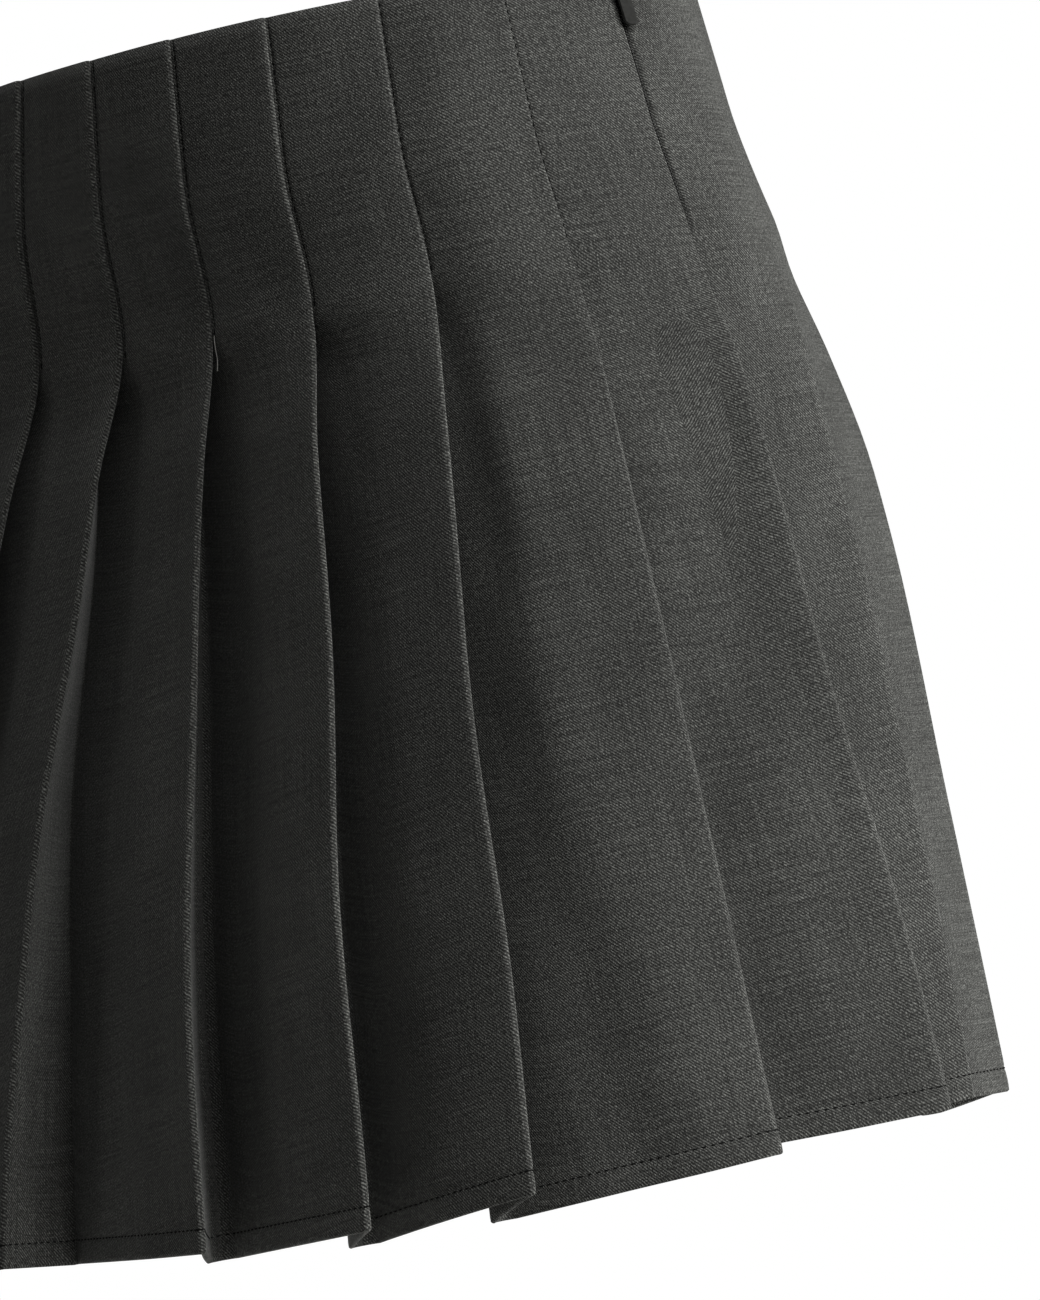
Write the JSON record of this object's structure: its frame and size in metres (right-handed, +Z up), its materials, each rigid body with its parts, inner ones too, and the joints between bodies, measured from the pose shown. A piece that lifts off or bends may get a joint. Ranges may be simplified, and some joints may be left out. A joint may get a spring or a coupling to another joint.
{
  "type": "pleated mini skirt",
  "caption": "Charcoal wool twill mini skirt, knife pleated all round, with the pleats stitched flat over the hips and open below, and a concealed zip in its side seam.",
  "frame": {"origin": "middle of the ring that the pleats' outer folds make at the waist edge, where the wearer's waist holds the skirt", "axes": "+Z up, -Y towards the wearer's front, +X towards the wearer's left, where the zip is"},
  "size_m": [0.5046, 0.3061, 0.4278],
  "materials": {
    "charcoal_wool_twill": "matte heathered twill with a soft press",
    "black_nylon_coil": "satin",
    "charcoal_enamelled_zinc": "satin enamel"
  },
  "bodies": {
    "skirt": {"front_panel": "charcoal_wool_twill", "back_panel": "charcoal_wool_twill", "zip_coil": "black_nylon_coil", "zip_slider": "charcoal_enamelled_zinc"},
    "pull_tab": {"zip_pull": "charcoal_enamelled_zinc"}
  },
  "joints": [
    {"name": "pull_tab_hinge", "type": "hinge", "parent": "skirt", "child": "pull_tab", "pos_m": [0.14785, -0.00097, -0.00754], "axis": [-0.0534, -0.9957, -0.0752], "range_deg": [0, 150]}
  ]
}
